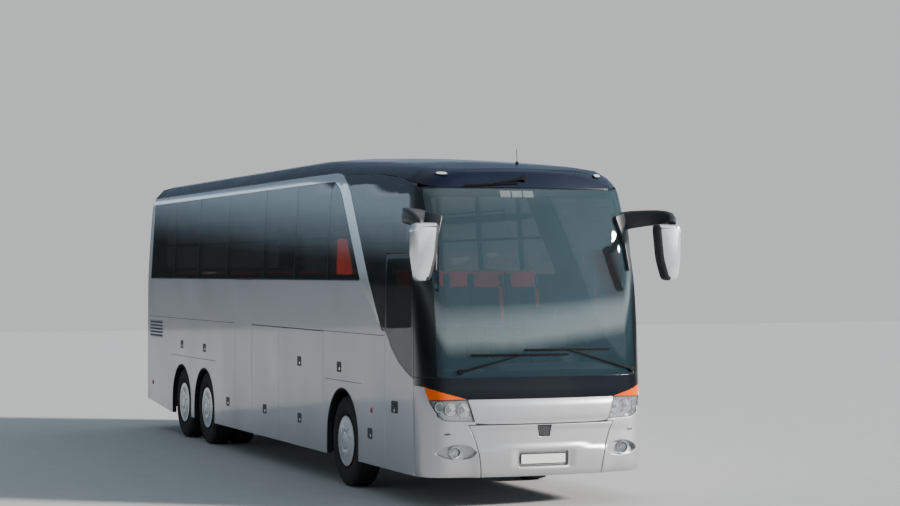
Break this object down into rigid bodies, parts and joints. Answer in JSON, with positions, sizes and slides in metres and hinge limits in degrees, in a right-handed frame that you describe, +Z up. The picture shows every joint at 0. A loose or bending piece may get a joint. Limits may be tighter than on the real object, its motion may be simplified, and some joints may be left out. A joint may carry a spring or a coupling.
{
  "type": "three-axle touring coach",
  "caption": "High-deck touring coach with raked windscreen, turning wheels, steering, outward-swinging doors, lifting luggage flaps, rear engine lid and tilting roof hatches.",
  "frame": {"origin": "on the ground under the middle of the whole coach with its mirrors", "axes": "+X forward, +Y to the coach's left, +Z up"},
  "size_m": [13.21, 3.0598, 3.88],
  "materials": {
    "body_silver": "metallic",
    "bright_silver": "metallic",
    "roof_paint": "gloss",
    "gloss_black": "gloss",
    "black_plastic": "matte",
    "dark_glass": "gloss",
    "tinted_glass": "gloss",
    "mirror": "gloss",
    "lamp_clear": "gloss",
    "lamp_amber": "gloss",
    "lamp_red": "gloss",
    "plate_white": "satin",
    "chassis_grey": "satin",
    "engine_iron": "rough",
    "floor_grey": "matte",
    "interior_grey": "matte",
    "seat_fabric": "woven",
    "tyre": "rubber",
    "rim": "satin"
  },
  "bodies": {
    "coach": {"axles": "chassis_grey", "black_front_panel": "gloss_black", "bumper": "body_silver", "dashboard_and_racks": "interior_grey", "engine": "engine_iron", "floors_and_steps": "floor_grey", "front_frame": "gloss_black", "front_lamps": "lamp_clear", "grille_panel": "bright_silver", "indicators": "lamp_amber", "luggage_bay": "chassis_grey", "mirror_arms": "black_plastic", "mirror_glasses": "mirror", "mirror_housings": "bright_silver", "rear_glass": "dark_glass", "rear_number_plate": "plate_white", "rear_wall": "body_silver", "roof": "roof_paint", "seats": "seat_fabric", "side_glass_left": "dark_glass", "side_glass_right": "dark_glass", "side_wall_left": "body_silver", "side_wall_right": "body_silver", "silver_bands": "bright_silver", "steering_wheel": "black_plastic", "tail_lamps": "lamp_red", "underframe": "chassis_grey", "wheel_wells": "black_plastic", "windscreen": "tinted_glass", "wipers": "black_plastic"},
    "front_wheel_left": {"tyre_front_left": "tyre", "rim_front_left": "rim"},
    "knuckle_left_body": {"knuckle_left": "chassis_grey"},
    "front_wheel_right": {"tyre_front_right": "tyre", "rim_front_right": "rim"},
    "knuckle_right_body": {"knuckle_right": "chassis_grey"},
    "drive_wheel_left": {"tyre_drive_left": "tyre", "rim_drive_left": "rim"},
    "drive_wheel_right": {"tyre_drive_right": "tyre", "rim_drive_right": "rim"},
    "tag_wheel_left": {"tyre_tag_left": "tyre", "rim_tag_left": "rim"},
    "tag_wheel_right": {"tyre_tag_right": "tyre", "rim_tag_right": "rim"},
    "front_door_arm_body": {"front_door_arm": "black_plastic"},
    "front_door_leaf": {"front_door": "body_silver", "front_door_glass": "dark_glass"},
    "mid_door_arm_body": {"mid_door_arm": "black_plastic"},
    "mid_door_leaf": {"mid_door": "body_silver"},
    "luggage_flap_right_front_lid": {"luggage_flap_right_front": "body_silver"},
    "luggage_flap_right_rear_lid": {"luggage_flap_right_rear": "body_silver"},
    "luggage_flap_left_front_lid": {"luggage_flap_left_front": "body_silver"},
    "luggage_flap_left_middle_lid": {"luggage_flap_left_middle": "body_silver"},
    "luggage_flap_left_rear_lid": {"luggage_flap_left_rear": "body_silver"},
    "engine_lid_body": {"engine_lid": "body_silver"},
    "roof_hatch_front_lid": {"roof_hatch_front": "roof_paint"},
    "roof_hatch_rear_lid": {"roof_hatch_rear": "roof_paint"},
    "bumper_flap_body": {"bumper_flap": "body_silver", "front_number_plate": "plate_white"}
  },
  "joints": [
    {"name": "steer_left", "type": "hinge", "parent": "coach", "child": "knuckle_left_body", "pos_m": [3.545, 0.96, 0.522], "axis": [0, 0, 1], "range_deg": [-45, 45]},
    {"name": "front_spin_left", "type": "hinge", "parent": "knuckle_left_body", "child": "front_wheel_left", "pos_m": [3.545, 1.0895, 0.522], "axis": [0, 1, 0], "continuous": true},
    {"name": "steer_right", "type": "hinge", "parent": "coach", "child": "knuckle_right_body", "pos_m": [3.545, -0.96, 0.522], "axis": [0, 0, 1], "range_deg": [-45, 45]},
    {"name": "front_spin_right", "type": "hinge", "parent": "knuckle_right_body", "child": "front_wheel_right", "pos_m": [3.545, -1.0895, 0.522], "axis": [0, 1, 0], "continuous": true},
    {"name": "drive_spin_left", "type": "hinge", "parent": "coach", "child": "drive_wheel_left", "pos_m": [-2.805, 1.0895, 0.522], "axis": [0, 1, 0], "continuous": true},
    {"name": "drive_spin_right", "type": "hinge", "parent": "coach", "child": "drive_wheel_right", "pos_m": [-2.805, -1.0895, 0.522], "axis": [0, 1, 0], "continuous": true},
    {"name": "tag_spin_left", "type": "hinge", "parent": "coach", "child": "tag_wheel_left", "pos_m": [-4.155, 1.0895, 0.522], "axis": [0, 1, 0], "continuous": true},
    {"name": "tag_spin_right", "type": "hinge", "parent": "coach", "child": "tag_wheel_right", "pos_m": [-4.155, -1.0895, 0.522], "axis": [0, 1, 0], "continuous": true},
    {"name": "front_door_arm_turn", "type": "hinge", "parent": "coach", "child": "front_door_arm_body", "pos_m": [5.775, -1.14, 1.2], "axis": [0, 0, 1], "range_deg": [0, 120]},
    {"name": "front_door_leaf_turn", "type": "hinge", "parent": "front_door_arm_body", "child": "front_door_leaf", "pos_m": [5.275, -1.14, 1.2], "axis": [0, 0, 1], "range_deg": [-120, 0]},
    {"name": "mid_door_arm_turn", "type": "hinge", "parent": "coach", "child": "mid_door_arm_body", "pos_m": [-0.975, -1.14, 1.2], "axis": [0, 0, -1], "range_deg": [0, 120]},
    {"name": "mid_door_leaf_turn", "type": "hinge", "parent": "mid_door_arm_body", "child": "mid_door_leaf", "pos_m": [-0.475, -1.14, 1.2], "axis": [0, 0, -1], "range_deg": [-120, 0]},
    {"name": "luggage_flap_right_front_lift", "type": "hinge", "parent": "coach", "child": "luggage_flap_right_front_lid", "pos_m": [1.89, -1.275, 1.771], "axis": [-1, 0, 0], "range_deg": [0, 95]},
    {"name": "luggage_flap_right_rear_lift", "type": "hinge", "parent": "coach", "child": "luggage_flap_right_rear_lid", "pos_m": [0.34, -1.275, 1.771], "axis": [-1, 0, 0], "range_deg": [0, 95]},
    {"name": "luggage_flap_left_front_lift", "type": "hinge", "parent": "coach", "child": "luggage_flap_left_front_lid", "pos_m": [2.015, 1.275, 1.771], "axis": [1, 0, 0], "range_deg": [0, 95]},
    {"name": "luggage_flap_left_middle_lift", "type": "hinge", "parent": "coach", "child": "luggage_flap_left_middle_lid", "pos_m": [0.415, 1.275, 1.771], "axis": [1, 0, 0], "range_deg": [0, 95]},
    {"name": "luggage_flap_left_rear_lift", "type": "hinge", "parent": "coach", "child": "luggage_flap_left_rear_lid", "pos_m": [-1.185, 1.275, 1.771], "axis": [1, 0, 0], "range_deg": [0, 95]},
    {"name": "engine_lid_lift", "type": "hinge", "parent": "coach", "child": "engine_lid_body", "pos_m": [-6.587, 0, 2.1755], "axis": [0, 1, 0], "range_deg": [0, 75]},
    {"name": "roof_hatch_front_tilt", "type": "hinge", "parent": "coach", "child": "roof_hatch_front_lid", "pos_m": [1.5905, 0, 3.8755], "axis": [0, 1, 0], "range_deg": [0, 15]},
    {"name": "roof_hatch_rear_tilt", "type": "hinge", "parent": "coach", "child": "roof_hatch_rear_lid", "pos_m": [-2.8095, 0, 3.8755], "axis": [0, 1, 0], "range_deg": [0, 15]},
    {"name": "bumper_flap_drop", "type": "hinge", "parent": "coach", "child": "bumper_flap_body", "pos_m": [6.29, 0, 0.35], "axis": [0, 1, 0], "range_deg": [0, 80]}
  ],
  "couplings": [
    {"joint": "steer_right", "follows": "steer_left", "ratio": 1},
    {"joint": "front_door_leaf_turn", "follows": "front_door_arm_turn", "ratio": -1},
    {"joint": "mid_door_leaf_turn", "follows": "mid_door_arm_turn", "ratio": -1}
  ]
}
